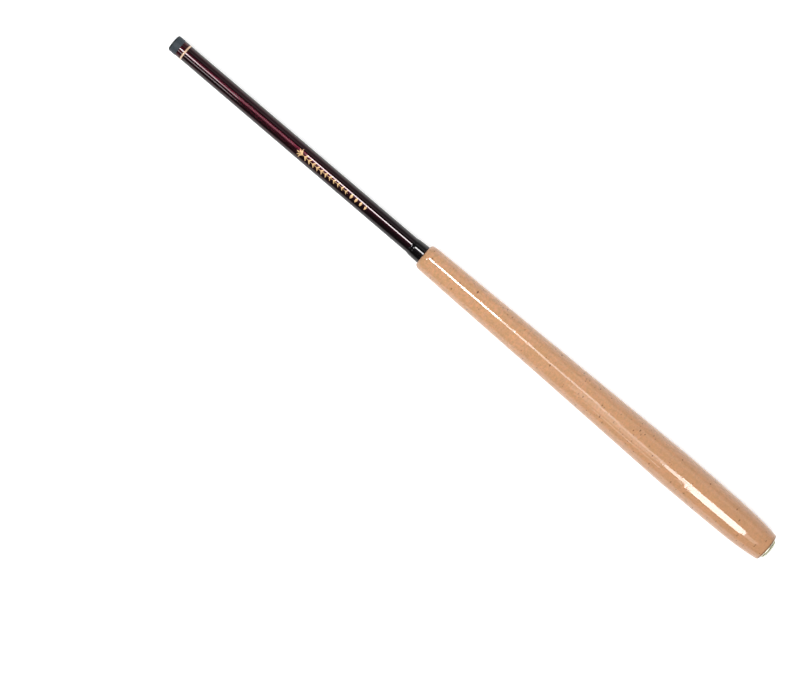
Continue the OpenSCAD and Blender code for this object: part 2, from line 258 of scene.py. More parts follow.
def lacquer_material(name, colour, flake, roughness=0.25, fades=False):
    """Dark tinted lacquer over a metallic ground, under a clear gloss coat.

    One that fades is nearly black behind FADE_START_X and has its full colour from FADE_END_X on.
    """
    material, t = new_material(name)
    grain = t.noise(scaled_coordinates(t, 1, 1, 1), 6.0, 2.0, 0.6)
    clouds = t.noise(scaled_coordinates(t, 0.05, 1, 1), 0.3, 2.0)
    tone = t.mix(t.mapped(grain, 0.55, 0.75, 0, 0.8), rgb(*colour), rgb(*flake))
    tone = t.mix(t.mapped(clouds, 0.3, 0.7, 0, 0.3), tone, rgb(*(0.6 * c for c in colour)))
    if fades:
        split = t.node("ShaderNodeSeparateXYZ")
        t.feed(split.inputs[0], t.object_coordinates())
        fade = t.mapped(split.outputs[0], FADE_START_X, FADE_END_X, 0.75, 0.0, smooth=True)
        tone = t.mix(fade, tone, rgb(0.004, 0.002, 0.003))
    t.principled(
        Base_Color=tone,
        Metallic=1.0,
        Specular_Tint=rgb(0.02, 0.01, 0.01),
        Roughness=roughness,
        Coat_Weight=1.0,
        Coat_Roughness=0.018,
        Coat_IOR=1.42,
    )
    return material


def wrap_material():
    """Burgundy thread turns under thick epoxy."""
    material, t = new_material("epoxied_thread")
    place = scaled_coordinates(t, 1, 1, 1)
    turns = t.node("ShaderNodeTexWave", wave_type="BANDS", bands_direction="X")
    t.feed(turns.inputs["Vector"], place)
    t.feed(turns.inputs["Scale"], 1.9)
    t.feed(turns.inputs["Distortion"], 0.6)
    t.feed(turns.inputs["Detail Scale"], 2.0)
    fluff = t.noise(place, 3.0, 3.0)
    tone = t.mix(turns.outputs["Fac"], rgb(0.022, 0.001, 0.004), rgb(0.085, 0.004, 0.011))
    tone = t.mix(t.mapped(fluff, 0.35, 0.7, 0, 0.35), tone, rgb(0.045, 0.002, 0.008))
    t.principled(
        Base_Color=tone,
        Metallic=1.0,
        Specular_Tint=rgb(0.03, 0.01, 0.01),
        Roughness=0.34,
        Normal=t.bump(turns.outputs["Fac"], 0.5, 0.04 * MM),
        Coat_Weight=1.0,
        Coat_Roughness=0.02,
        Coat_IOR=1.45,
    )
    return material


def gold_material(name, light, dark, metallic):
    """Gold foil or metallic thread under lacquer."""
    material, t = new_material(name)
    place = scaled_coordinates(t, 1, 1, 1)
    grain = t.noise(place, 5.0, 3.0, 0.6)
    tone = t.mix(t.mapped(grain, 0.3, 0.7), rgb(*dark), rgb(*light))
    t.principled(
        Base_Color=tone,
        Metallic=metallic,
        Roughness=t.mapped(grain, 0.2, 0.8, 0.35, 0.50),
        Coat_Weight=0.6,
        Coat_Roughness=0.04,
        Coat_IOR=1.5,
    )
    return material


def metal_material(name, light, dark, roughness, rim=None):
    """Turned and anodised metal with fine circular tool marks.

    rim is the place along the rod behind which the edge is darkened with painted shade.
    """
    material, t = new_material(name)
    place = t.object_coordinates()
    split = t.node("ShaderNodeSeparateXYZ")
    t.feed(split.inputs[0], place)
    square = t.math("ADD", t.math("POWER", split.outputs[1], 2), t.math("POWER", split.outputs[2], 2))
    radius = t.math("SQRT", square)
    marks = t.node("ShaderNodeTexNoise", noise_dimensions="2D")
    joined = t.node("ShaderNodeCombineXYZ")
    t.feed(joined.inputs[0], t.math("MULTIPLY", radius, 9 / MM))
    t.feed(joined.inputs[1], t.math("MULTIPLY", split.outputs[0], 9 / MM))
    t.feed(marks.inputs["Vector"], joined.outputs[0])
    t.feed(marks.inputs["Scale"], 1.0)
    clouds = t.noise(scaled_coordinates(t, 1, 1, 1), 0.7, 3.0)
    tone = t.mix(t.mapped(clouds, 0.3, 0.7), rgb(*light), rgb(*dark))
    if rim:
        # Painted shade: the rounded rear edge behind rim is darkened.
        edge = t.mapped(split.outputs[0], rim - 0.2 * MM, rim + 0.2 * MM, 0.8, 0.0, smooth=True)
        edge = t.math("MULTIPLY", edge, t.mapped(radius, 5.3 * MM, 5.8 * MM))
        tone = t.mix(edge, tone, rgb(*(0.3 * c for c in dark)))
    t.principled(
        Base_Color=tone,
        Metallic=0.9,
        Roughness=t.mapped(marks.outputs["Fac"], 0.2, 0.8, roughness, roughness + 0.14),
        Normal=t.bump(marks.outputs["Fac"], 0.25, 0.02 * MM),
    )
    return material


def moulded_material(name, light, dark, roughness):
    """Matte moulded plastic or rubber with a fine even grain."""
    material, t = new_material(name)
    place = scaled_coordinates(t, 1, 1, 1)
    grain = t.noise(place, 5.5, 3.0, 0.6)
    clouds = t.noise(place, 0.6, 3.0)
    tone = t.mix(t.mapped(clouds, 0.3, 0.7), rgb(*light), rgb(*dark))
    t.principled(
        Base_Color=tone,
        Roughness=t.mapped(grain, 0.25, 0.75, roughness - 0.06, roughness + 0.06),
        Normal=t.bump(grain, 0.3, 0.03 * MM),
    )
    return material


def braid_material():
    """Polyester yarn: fine fibres along each strand."""
    material, t = new_material("braided_yarn")
    place = scaled_coordinates(t, 1, 1, 1)
    fibres = t.noise(place, 14.0, 3.0, 0.65)
    tone = t.mix(t.mapped(fibres, 0.3, 0.7), rgb(0.36, 0.015, 0.012), rgb(0.68, 0.05, 0.035))
    t.principled(
        Base_Color=tone,
        Roughness=0.7,
        Normal=t.bump(fibres, 0.4, 0.03 * MM),
        Sheen_Weight=0.3,
    )
    return material


# Mesh helpers

def radii_at(node, x, within=0.02 * MM):
    """The radii of a turned CAD node's edges at a place along the rod, smallest first."""
    found = set()
    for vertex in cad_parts[node].data.vertices:
        if abs(vertex.co.x - x) < within:
            found.add(round(math.hypot(vertex.co.y, vertex.co.z), 6))
    merged = []
    for radius in sorted(found):
        if not merged or radius - merged[-1] > within:
            merged.append(radius)
    return merged


def span(node):
    """Rear and front end of a CAD node along the rod."""
    low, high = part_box(node)
    return low.x, high.x


def outer_stations(*nodes):
    """The outermost radius at each place along the rod where the nodes have an edge."""
    outermost = {}
    for node in nodes:
        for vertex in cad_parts[node].data.vertices:
            x = round(vertex.co.x, 6)
            radius = math.hypot(vertex.co.y, vertex.co.z)
            outermost[x] = max(outermost.get(x, 0), radius)
    return sorted(outermost.items())


def smooth_through(points, x):
    """Radius at x on a smooth curve through the points (Catmull-Rom)."""
    count = len(points)
    i = min(max(np.searchsorted([p[0] for p in points], x) - 1, 0), count - 2)
    (x1, r1), (x2, r2) = points[i], points[i + 1]
    x0, r0 = points[max(i - 1, 0)]
    x3, r3 = points[min(i + 2, count - 1)]
    t = (x - x1) / (x2 - x1)
    m1 = (r2 - r0) / (x2 - x0) * (x2 - x1)
    m2 = (r3 - r1) / (x3 - x1) * (x2 - x1)
    return (
        r1 * (2 * t**3 - 3 * t**2 + 1) + m1 * (t**3 - 2 * t**2 + t)
        + r2 * (3 * t**2 - 2 * t**3) + m2 * (t**3 - t**2)
    )


def rounded(outline, radius, steps=4, closed=True):
    """The outline with each corner cut by an arc-like curve that starts radius before the corner."""
    result = []
    count = len(outline)
    for i, corner in enumerate(outline):
        corner = Vector(corner)
        if not closed and i in (0, count - 1):
            result.append(tuple(corner))
            continue
        before, after = Vector(outline[i - 1]), Vector(outline[(i + 1) % count])
        cut = min(radius, (before - corner).length * 0.45, (after - corner).length * 0.45)
        start = corner + (before - corner).normalized() * cut
        end = corner + (after - corner).normalized() * cut
        for k in range(steps + 1):
            t = k / steps
            point = start * (1 - t) ** 2 + corner * 2 * t * (1 - t) + end * t**2
            result.append(tuple(point))
    return result


def mesh_object(name, vertices, faces, material, sharp_degrees=40):
    mesh = bpy.data.meshes.new(name)
    mesh.from_pydata([tuple(v) for v in vertices], [], faces)
    mesh.update()
    mesh.shade_smooth()
    mesh.set_sharp_from_angle(angle=math.radians(sharp_degrees))
    mesh.materials.append(material)
    made = bpy.data.objects.new(name, mesh)
    bpy.context.scene.collection.objects.link(made)
    return made


SUPPORT_GAP = 0.12 * MM
LONG_STRETCH = 1.5 * MM


def with_supports(outline, closed):
    """The outline with points close to both ends of each long stretch, so that it shades flat."""
    result = []
    count = len(outline)
    for i, (x, radius) in enumerate(outline):
        result.append((x, radius))
        if i == count - 1 and not closed:
            break
        next_x, next_radius = outline[(i + 1) % count]
        length = math.hypot(next_x - x, next_radius - radius)
        if length > LONG_STRETCH:
            for share in (SUPPORT_GAP / length, 1 - SUPPORT_GAP / length):
                result.append((x + (next_x - x) * share, radius + (next_radius - radius) * share))
    return result


def lathe(name, outline, material, segments=128, closed=True, offset=None, sharp_degrees=40):
    """A turned solid from points (x, radius), listed with the outside first from rear to front.

    A closed outline makes a tube. An open one starts and ends on the axis. offset(x, angle, radius)
    gives an extra radius at a point, for surfaces that aren't quite round.
    """
    vertices, faces, rows = [], [], []
    for x, radius in with_supports(outline, closed):
        if radius < 1e-7:
            rows.append([len(vertices)] * segments)
            vertices.append((x, 0, 0))
            continue
        row = []
        for k in range(segments):
            angle = 2 * math.pi * k / segments
            r = radius + (offset(x, angle, radius) if offset else 0)
            row.append(len(vertices))
            vertices.append((x, r * math.sin(angle), r * math.cos(angle)))
        rows.append(row)
    pairs = list(zip(rows, rows[1:])) + ([(rows[-1], rows[0])] if closed else [])
    for rear, front in pairs:
        for k in range(segments):
            n = (k + 1) % segments
            corners = [rear[k], rear[n], front[n], front[k]]
            face = list(dict.fromkeys(corners))
            if len(face) > 2:
                faces.append(face)
    return mesh_object(name, vertices, faces, material, sharp_degrees)


def tube_outline(rear_x, rear_out, rear_in, front_x, front_out, front_in, edge):
    corners = [(rear_x, rear_out), (front_x, front_out), (front_x, front_in), (rear_x, rear_in)]
    return rounded(corners, edge)


def seal_ring(name, node, material):
    """A round rubber ring in the place of its CAD node."""
    rear_x, front_x = span(node)
    thickness = front_x - rear_x
    low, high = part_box(node)
    middle = high.z - thickness / 2
    steps = 24
    outline = [
        ((rear_x + front_x) / 2 - math.cos(2 * math.pi * k / steps) * thickness / 2,
         middle + math.sin(2 * math.pi * k / steps) * thickness / 2)
        for k in range(steps)
    ]
    return lathe(name, outline, material, segments=96, sharp_degrees=80)


def place(piece, body, slot, *nodes):
    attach(piece, body)
    if nodes:
        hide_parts(*nodes)
    return piece


# Grip

CORK_SEGMENTS = 160
CORK_STEP = 0.64 * MM
JOINT_DIP = 0.006 * MM
JOINT_LENGTH = 0.45 * MM


def hand_shaped(x, angle, radius):
    """Slight waviness of the sanded and coated surface."""
    spot = Vector((x / MM * 0.07, radius / MM * math.sin(angle) * 0.11, radius / MM * math.cos(angle) * 0.11))
    return 0.022 * MM * noise.noise(spot) + 0.006 * MM * noise.noise(spot * 3.7)


def cork_rings(material):
    names = sorted(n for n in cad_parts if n.startswith("cork_ring_"))
    grip = outer_stations(*names)
    butt_x, front_x = grip[0][0], grip[-1][0]
    for name in names:
        rear, front = span(name)
        bore = radii_at(name, rear)[0]
        edge_points = [p for p in outer_stations(name) if rear < p[0] < front]
        stations = {rear, front}
        steps = round((front - rear) / CORK_STEP)
        stations.update(rear + (front - rear) * k / steps for k in range(1, steps))
        is_first, is_last = rear == butt_x, front == front_x
        if is_first:
            stations.update(x for x, _ in edge_points if x < rear + 1.5 * MM)
        if is_last:
            stations.update(x for x, _ in edge_points if x > front - 6.5 * MM)
        outline = []
        for x in sorted(stations):
            radius = smooth_through(grip, x)
            if (x == rear and not is_first) or (x == front and not is_last):
                outline.append((x, radius - JOINT_DIP))
                continue
            outline.append((x, radius))
        if not is_first:
            outline.insert(1, (rear + JOINT_LENGTH, smooth_through(grip, rear + JOINT_LENGTH)))
        if not is_last:
            outline.insert(-1, (front - JOINT_LENGTH, smooth_through(grip, front - JOINT_LENGTH)))
        outside = len(outline)
        outline += [(front, bore), (rear, bore)]
        bore_radius = bore * 1.02

        def offset(x, angle, radius):
            return hand_shaped(x, angle, radius) if radius > bore_radius else 0

        piece = lathe("cork_disc_" + name[-2:], outline, material, CORK_SEGMENTS, offset=offset)
        place(piece, "handle", "cork", name)


# Blank

def blank_pieces(lacquer, section_lacquer, tip_lacquer):
    rear, front = span("handle_section")
    rear_in, rear_out = radii_at("handle_section", rear)
    front_in, front_out = radii_at("handle_section", front)
    outline = tube_outline(rear, rear_out, rear_in, front, front_out, front_in, 0.15 * MM)
    place(lathe("blank_handle", outline, lacquer, 160), "handle", "blank_lacquer", "handle_section")

    for number in range(2, 8):
        node = f"section_{number}"
        rear, front = span(node)
        rear_in, rear_out = radii_at(node, rear)
        front_in, front_out = radii_at(node, front)
        outline = tube_outline(rear, rear_out, rear_in, front, front_out, front_in, 0.10 * MM)
        place(lathe(f"blank_{number}", outline, section_lacquer, 128), node, "section_lacquer", node)

    rear, front = span("tip_section")
    rear_out, front_out = radii_at("tip_section", rear)[-1], radii_at("tip_section", front)[-1]
    outline = rounded([(rear, 0), (rear, rear_out), (front, front_out), (front, 0)], 0.12 * MM, closed=False)
    piece = lathe("blank_tip", outline, tip_lacquer, 96, closed=False)
    place(piece, "tip", "tip_lacquer", "tip_section")


def winding_collar(material):
    node = "winding_check"
    rear, front = span(node)
    outer = outer_stations(node)
    bore = radii_at(node, rear)[0]
    steps = 40
    fall_start = outer[1][0]
    outline = [outer[0], outer[1]]
    outline += [
        (x, smooth_through(outer[1:], x))
        for x in (fall_start + (front - fall_start) * k / steps for k in range(1, steps + 1))
    ]
    corner = rounded([(rear, bore), outer[0], outer[1]], 0.35 * MM, steps=6, closed=False)[1:-1]
    outline = corner + outline[1:] + [(front, bore), (rear, bore)]
    place(lathe("check_collar", outline, material, 160), "handle", "check_gloss", node)


def wrap_and_trim(wrap, gold):
    node = "tip_wrap"
    rear, front = span(node)
    rear_in, rear_out = radii_at(node, rear)
    front_in, front_out = radii_at(node, front)
    outline = tube_outline(rear, rear_out, rear_in, front, front_out, front_in, 0.09 * MM)
    place(lathe("thread_wrap", outline, wrap, 160), "handle", "wrap_epoxy", node)

    # The trim is a few turns of metallic thread side by side.
    node = "gold_band"
    rear, front = span(node)
    rear_in, rear_out = radii_at(node, rear)
    front_in, front_out = radii_at(node, front)
    turns, arc_steps = 5, 6
    outline = []
    for turn in range(turns):
        for k in range(arc_steps):
            share = (turn + k / arc_steps) / turns
            crest = rear_out + (front_out - rear_out) * share
            floor = rear_in + (front_in - rear_in) * share + 0.3 * (rear_out - rear_in)
            swell = math.sin(math.pi * k / arc_steps) ** 0.6
            outline.append((rear + (front - rear) * share, floor + (crest - floor) * swell))
    outline += [(front, front_in), (rear, rear_in)]
    place(lathe("gold_trim", outline, gold, 160), "handle", "gold", node)


# Butt cap and insert

THREAD_PITCH = 1.0 * MM
THREAD_DEPTH = 0.48 * MM


def thread_swell(x, angle):
    """From 0 at the root of the thread to 1 at its crest, for a right-hand screw along the rod."""
    turn = (x / THREAD_PITCH + angle / (2 * math.pi)) % 1.0
    flank = 1 - abs(2 * turn - 1)
    return min(max(flank * 1.35 - 0.12, 0), 1)


def screw_cap(material):
    node = "butt_cap"
    stations = outer_stations(node)
    rear, front = span(node)
    round_part = [p for p in stations if p[0] < 2.65 * MM]
    flange_x = round_part[-1][0]
    neck_r, thread_r, nose_r = cap_radii(node)
    thread_rear = [x for x, _ in stations if x > flange_x + 0.5 * MM][0]
    thread_front = [x for x, _ in stations if x > thread_rear + 0.5 * MM][0]
    outline = [(0, 0)] + [p for p in round_part if p[1] > 0]
    outline += [(flange_x, neck_r), (thread_rear, neck_r)]
    steps = round((thread_front - thread_rear) / (0.07 * MM))
    fade = 0.6 * MM
    outline += [(thread_rear + (thread_front - thread_rear) * k / steps, thread_r) for k in range(steps + 1)]
    outline += [(thread_front, nose_r), (front, nose_r), (front, 0)]
    start, end = thread_rear - 1e-6, thread_front + 1e-6

    def offset(x, angle, radius):
        if abs(radius - thread_r) > 1e-6 or not start < x < end:
            return 0
        near_end = min(x - thread_rear, thread_front - x) / fade
        swell = thread_swell(x, angle)
        return -THREAD_DEPTH * (1 - swell * min(max(near_end, 0), 1))

    cap = lathe("screw_cap", outline, material, 128, closed=False, offset=offset)
    cut_slot(cap)
    place(cap, "butt_cap", "cap_metal", node)


def cap_radii(node):
    """Radii of the neck, the thread and the nose of the cap, from its stepped front."""
    rear, front = span(node)
    nose_r = radii_at(node, front)[-1]
    thread_r = max(r for x, r in outer_stations(node) if x > 3.5 * MM)
    return radii_at(node, 2.6 * MM)[0], thread_r, nose_r


def cut_slot(cap):
    """Cuts the coin slot into the cap's rear face."""
    low, high = -4.47 * MM, 4.47 * MM
    half_width, depth = 1.0 * MM, 1.2 * MM
    corners = [
        (x, y, z)
        for x in (-1 * MM, depth) for y in (low, high) for z in (-half_width, half_width)
    ]
    faces = [(0, 1, 3, 2), (4, 6, 7, 5), (0, 4, 5, 1), (2, 3, 7, 6), (0, 2, 6, 4), (1, 5, 7, 3)]
    cutter = mesh_object("slot_cutter", corners, faces, cap.data.materials[0])
    cut = cap.modifiers.new("slot", "BOOLEAN")
    cut.object = cutter
    cut.operation = "DIFFERENCE"
    cut.solver = "EXACT"
    bpy.context.view_layer.update()
    evaluated = cap.evaluated_get(bpy.context.evaluated_depsgraph_get())
    mesh = bpy.data.meshes.new_from_object(evaluated)
    cap.modifiers.clear()
    cap.data = mesh
    mesh.shade_smooth()
    mesh.set_sharp_from_angle(angle=math.radians(30))
    bpy.data.objects.remove(cutter)


def threaded_insert(material):
    node = "butt_insert"
    rear, front = span(node)
    stations = sorted({round(v.co.x, 6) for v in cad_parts[node].data.vertices})
    seat_r, outer_r = radii_at(node, rear)
    bore_start, blank_x = stations[1], stations[-2]
    bore_r = radii_at(node, bore_start)[0]
    blank_in, blank_out = radii_at(node, blank_x)[0], radii_at(node, blank_x)[-1]
    steps = round((blank_x - bore_start) / (0.07 * MM))
    corner = rounded([(rear, seat_r), (rear, outer_r), (front, outer_r)], 0.2 * MM, closed=False)[1:-1]
    outline = corner + [(front, outer_r), (front, blank_out), (blank_x, blank_out)]
    outline += [(blank_x - (blank_x - bore_start) * k / steps, bore_r) for k in range(steps + 1)]
    outline += [(bore_start, seat_r), (rear, seat_r)]

    def offset(x, angle, radius):
        if abs(radius - bore_r) > 1e-6:
            return 0
        inset = min(max((x - bore_start) / (0.6 * MM), 0), 1)
        return -THREAD_DEPTH * inset * (1 - thread_swell(x, angle))

    place(lathe("insert_threaded", outline, material, 128, offset=offset), "handle", "insert_metal", node)


def cap_cushion(material):
    node = "cap_pad"
    rear, front = span(node)
    radius = radii_at(node, rear)[-1]
    outline = rounded([(rear, 0), (rear, radius), (front, radius), (front, 0)], 0.35 * MM, closed=False)
    place(lathe("cap_cushion", outline, material, 96, closed=False), "butt_cap", "pad_rubber", node)


# Tip plug and line cord

PLUG_RIM = 1.5 * MM
PLUG_RIM_FADE = 0.7 * MM


def plug_material():
    """Matte moulded plastic with painted shade darkening the rounded rim round its front."""
    material, t = new_material("plug_plastic")
    place = scaled_coordinates(t, 1, 1, 1)
    split = t.node("ShaderNodeSeparateXYZ")
    t.feed(split.inputs[0], t.object_coordinates())
    grain = t.noise(place, 5.5, 3.0, 0.6)
    clouds = t.noise(place, 0.6, 3.0)
    tone = t.mix(t.mapped(clouds, 0.3, 0.7), rgb(0.030, 0.041, 0.050), rgb(0.050, 0.063, 0.076))
    # Painted shade: the rounded rim round the front of the head is darkened to near black.
    shade_rim_x = span("tip_plug")[1] - PLUG_RIM
    rim = t.mapped(split.outputs[0], shade_rim_x, shade_rim_x + PLUG_RIM_FADE, 0.0, 0.95, smooth=True)
    tone = t.mix(rim, tone, rgb(0.003, 0.010, 0.009))
    t.principled(
        Base_Color=tone,
        Roughness=t.mapped(grain, 0.25, 0.75, 0.46, 0.58),
        Specular_IOR_Level=0.25,
        Normal=t.bump(grain, 0.3, 0.03 * MM),
    )
    return material


def plug_body(material):
    node = "tip_plug"
    rear, front = span(node)
    stem_in, stem_out = radii_at(node, rear)
    mouth_x = span("handle_section")[1]
    head_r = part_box(node)[1].z
    inner_x = plug_hollow_end(node, stem_in)
    groove = [x for x, _ in outer_stations(node) if rear + 1 * MM < x < mouth_x - 1 * MM]
    groove_rear, groove_front = groove[0], groove[-1]
    groove_r = radii_at(node, groove_rear)[-2]
    head_round, arc_steps = 1.4 * MM, 12
    quarter = [math.pi / 2 * k / arc_steps for k in range(arc_steps + 1)]
    inside = [(inner_x, 0), (inner_x, stem_in - 0.6 * MM), (inner_x - 0.6 * MM, stem_in)]
    inside.append((rear + 0.3 * MM, stem_in))
    stem = rounded([(rear, stem_in), (rear, stem_out), (groove_rear, stem_out)], 0.5 * MM, closed=False)[1:-1]
    head = [
        (groove_rear, stem_out), (groove_rear, groove_r), (groove_front, groove_r),
        (groove_front, stem_out), (mouth_x, stem_out),
        (mouth_x, head_r - 0.15 * MM), (mouth_x + 0.15 * MM, head_r),
    ]
    head += [
        (front - head_round * (1 - math.sin(a)), head_r - head_round * (1 - math.cos(a))) for a in quarter
    ]
    outline = inside + stem + head + [(front, 0)]
    place(lathe("plug_body", outline, material, 128, closed=False), "plug", "plug_plastic", node)


def plug_hollow_end(node, stem_in):
    """Where the hollow of the plug ends, found from the corner of its bore."""
    found = [
        v.co.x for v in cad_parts[node].data.vertices
        if abs(math.hypot(v.co.y, v.co.z) - stem_in) < 0.02 * MM
    ]
    return max(found)


def braided_cord(material):
    """Line cord at the tip: a round braid of twelve strands, with a stop knot near its end."""
    node = "lilian"
    rear, front = span(node)
    cord_r = radii_at(node, front)[-1]
    bore_r = radii_at(node, rear)[0]
    knot_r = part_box(node)[1].z
    knot_x = front - 3.0 * MM
    strands, pitch, relief = 12, 5.2 * MM, 0.07 * MM
    steps = round((front - rear) / (0.11 * MM))
    tip_x = span("tip_section")[1]

    def weave(x, angle):
        turn = x / pitch * 2 * math.pi
        left = abs(math.sin((angle + turn) * strands / 4))
        right = abs(math.sin((angle - turn) * strands / 4))
        over = 0.5 + 0.5 * math.sin((angle + turn) * strands / 4) * math.sin((angle - turn) * strands / 4)
        return max(left * (0.72 + 0.28 * over), right * (1 - 0.28 * over))

    def offset(x, angle, radius):
        if radius < bore_r * 1.02:
            return 0
        return relief * (weave(x, angle) - 1)

    def profile(x):
        gap = abs(x - knot_x)
        reach = knot_r
        if gap < reach:
            bulge = math.sqrt(max(knot_r**2 - gap**2, 0)) - relief
            return max(cord_r, bulge)
        return cord_r

    outline = [(tip_x, 0), (tip_x, bore_r), (rear, bore_r), (rear, cord_r)]
    outline += [
        (x, profile(x)) for x in (rear + (front - rear) * k / steps for k in range(1, steps + 1))
    ]
    outline.append((front, 0))
    piece = lathe("line_braid", outline, material, 72, closed=False, offset=offset, sharp_degrees=70)
    place(piece, "tip", "line_braid", node)


def braid_sleeve(material):
    node = "lilian_sleeve"
    rear, front = span(node)
    inner, outer = radii_at(node, rear)
    outline = rounded([(rear, outer), (front, outer), (front, inner), (rear, inner)], 0.12 * MM)
    place(lathe("braid_sleeve", outline, material, 72), "tip", "sleeve_plastic", node)


# Gold scroll on the blank

SCROLL_REAR_X = 0.3766
SCROLL_FRONT_X = 0.4436
SCROLL_ANGLE = math.radians(15)
FOIL = 0.02 * MM


def foil_strip(blank_radius, path, widths):
    """Vertices and faces of a thin raised strip on the blank, from points (x, distance round)."""
    vertices, faces = [], []
    count = len(path)
    for i, (x, round_way) in enumerate(path):
        before, after = path[max(i - 1, 0)], path[min(i + 1, count - 1)]
        along = Vector((after[0] - before[0], after[1] - before[1])).normalized()
        side = Vector((-along.y, along.x)) * widths[i] / 2
        for sign, lift in ((-1, 0), (-1, FOIL), (1, FOIL), (1, 0)):
            px, py = x + side.x * sign, round_way + side.y * sign
            radius = blank_radius(px) + lift
            angle = SCROLL_ANGLE + py / radius
            vertices.append((px, radius * math.sin(angle), radius * math.cos(angle)))
    for i in range(count - 1):
        a, b = 4 * i, 4 * (i + 1)
        faces += [(a + k, a + (k + 1) % 4, b + (k + 1) % 4, b + k) for k in range(4)]
    faces += [(3, 2, 1, 0), tuple(4 * (count - 1) + k for k in range(4))]
    return vertices, faces


def leaf(centre_x, centre_y, length, width, lean, curl):
    """Centreline and widths of a pointed leaf, which curls to one side by a share of its length."""
    steps = 12
    path, widths = [], []
    for k in range(steps + 1):
        t = k / steps
        bend = curl * length * math.sin(math.pi * t)
        u, v = (t - 0.5) * length, bend
        path.append((
            centre_x + u * math.cos(lean) - v * math.sin(lean),
            centre_y + u * math.sin(lean) + v * math.cos(lean),
        ))
        widths.append(0.02 * MM + width * math.sin(math.pi * t) ** 0.8)
    return path, widths


def palmette(x, y, reach):
    """A fan of five curved leaves that opens towards the rod's tip."""
    leaves = []
    for k, lean in enumerate((-1.05, -0.52, 0.0, 0.52, 1.05)):
        size = reach * (1.0 - 0.10 * abs(k - 2))
        centre_x = x + 0.5 * size * math.cos(lean)
        centre_y = y + 0.5 * size * math.sin(lean)
        leaves.append(leaf(centre_x, centre_y, size, 0.20 * size, lean, 0.10 * (2 - k)))
    return leaves


def leaf_pair(x, y, size, lean):
    """Two leaves that spring from the stem to both sides and point back to the grip."""
    leaves = []
    for side in (-1, 1):
        turn = math.pi + side * lean
        centre_x, centre_y = x + 0.5 * size * math.cos(turn), y + 0.5 * size * math.sin(turn)
        leaves.append(leaf(centre_x, centre_y, size, 0.30 * size, turn, -0.12 * side))
    return leaves


def gold_scroll(material):
    """A plain branch with paired leaves between a palmette and a row of lozenges."""
    rear, front = span("handle_section")
    rear_r, front_r = radii_at("handle_section", rear)[-1], radii_at("handle_section", front)[-1]

    def blank_radius(x):
        return rear_r + (front_r - rear_r) * (x - rear) / (front - rear)

    palmette_x = SCROLL_FRONT_X - 6.0 * MM
    stem_rear_x = SCROLL_REAR_X + 19 * MM
    pairs, stem_steps = 11, 120

    def stem_y(x):
        return 0.45 * MM * math.sin((palmette_x - x) / (6.5 * MM))

    strokes = palmette(palmette_x, 0, 5.8 * MM)
    stations = [palmette_x + (stem_rear_x - palmette_x) * k / stem_steps for k in range(stem_steps + 1)]
    strokes.append((
        [(x, stem_y(x)) for x in stations],
        [(0.40 - 0.18 * k / stem_steps) * MM for k in range(stem_steps + 1)],
    ))
    for k in range(pairs):
        share = (k + 0.3) / pairs
        x = palmette_x + (stem_rear_x - palmette_x) * share
        strokes += leaf_pair(x, stem_y(x), (3.6 - 1.1 * share) * MM, 0.80)
    for k in range(4):
        size = (4.1 - 0.25 * k) * MM
        strokes.append(leaf(SCROLL_REAR_X + (15.6 - 4.3 * k) * MM, 0, size, 0.46 * size, math.pi / 2, 0))
    vertices, faces = [], []
    for path, widths in strokes:
        new_vertices, new_faces = foil_strip(blank_radius, path, widths)
        start = len(vertices)
        vertices += new_vertices
        faces += [tuple(start + k for k in face) for face in new_faces]
    piece = mesh_object("gold_scroll", vertices, faces, material)
    place(piece, "handle", "gold")


# Stage

FLOOR_HALF = 15.0
LAMP_HEIGHT = 2.2


def make_floor():
    """White floor. It looks white to the camera and in reflections, and keeps the rod's shadow."""
    material, t = new_material("white_floor")
    grain = t.noise(scaled_coordinates(t, 0.002, 0.002, 0.002), 1.0, 2.0)
    diffuse = t.node("ShaderNodeBsdfDiffuse")
    t.feed(diffuse.inputs["Color"], t.mix(grain, rgb(0.84, 0.84, 0.84), rgb(0.86, 0.86, 0.86)))
    glow = t.node("ShaderNodeEmission")
    path = t.node("ShaderNodeLightPath")
    seen = t.math("MAXIMUM", path.outputs["Is Camera Ray"], path.outputs["Is Glossy Ray"])
    seen = t.math("MAXIMUM", seen, path.outputs["Is Transmission Ray"])
    t.feed(glow.inputs["Strength"], t.math("MULTIPLY", seen, 0.50))
    both = t.node("ShaderNodeAddShader")
    t.feed(both.inputs[0], diffuse.outputs[0])
    t.feed(both.inputs[1], glow.outputs[0])
    output = t.node("ShaderNodeOutputMaterial")
    t.feed(output.inputs[0], both.outputs[0])
    z = cad_box[0].z
    h = FLOOR_HALF
    floor = mesh_object("floor", [(-h, -h, z), (h, -h, z), (h, h, z), (-h, h, z)], [(0, 1, 2, 3)], material)


def make_world():
    """A studio that is white round the horizon and dim overhead, with a lighter wall on the -Y side."""
    world = bpy.data.worlds.new("studio")
    world.use_nodes = True
    bpy.context.scene.world = world
    t = Tree(world.node_tree)
    split = t.node("ShaderNodeSeparateXYZ")
    t.feed(split.inputs[0], t.node("ShaderNodeTexCoord").outputs["Generated"])
    wall_top = t.mapped(split.outputs[1], -0.3, 0.3, 0.50, 0.22)
    wall_light = t.mapped(split.outputs[1], -0.3, 0.3, 1.0, 0.35)
    background = t.node("ShaderNodeBackground")
    t.feed(background.inputs["Color"], rgb(1, 1, 1))
    t.feed(background.inputs["Strength"], t.mapped(split.outputs[2], 0.05, wall_top, wall_light, 0.09, smooth=True))
    output = t.node("ShaderNodeOutputWorld")
    t.feed(output.inputs[0], background.outputs[0])


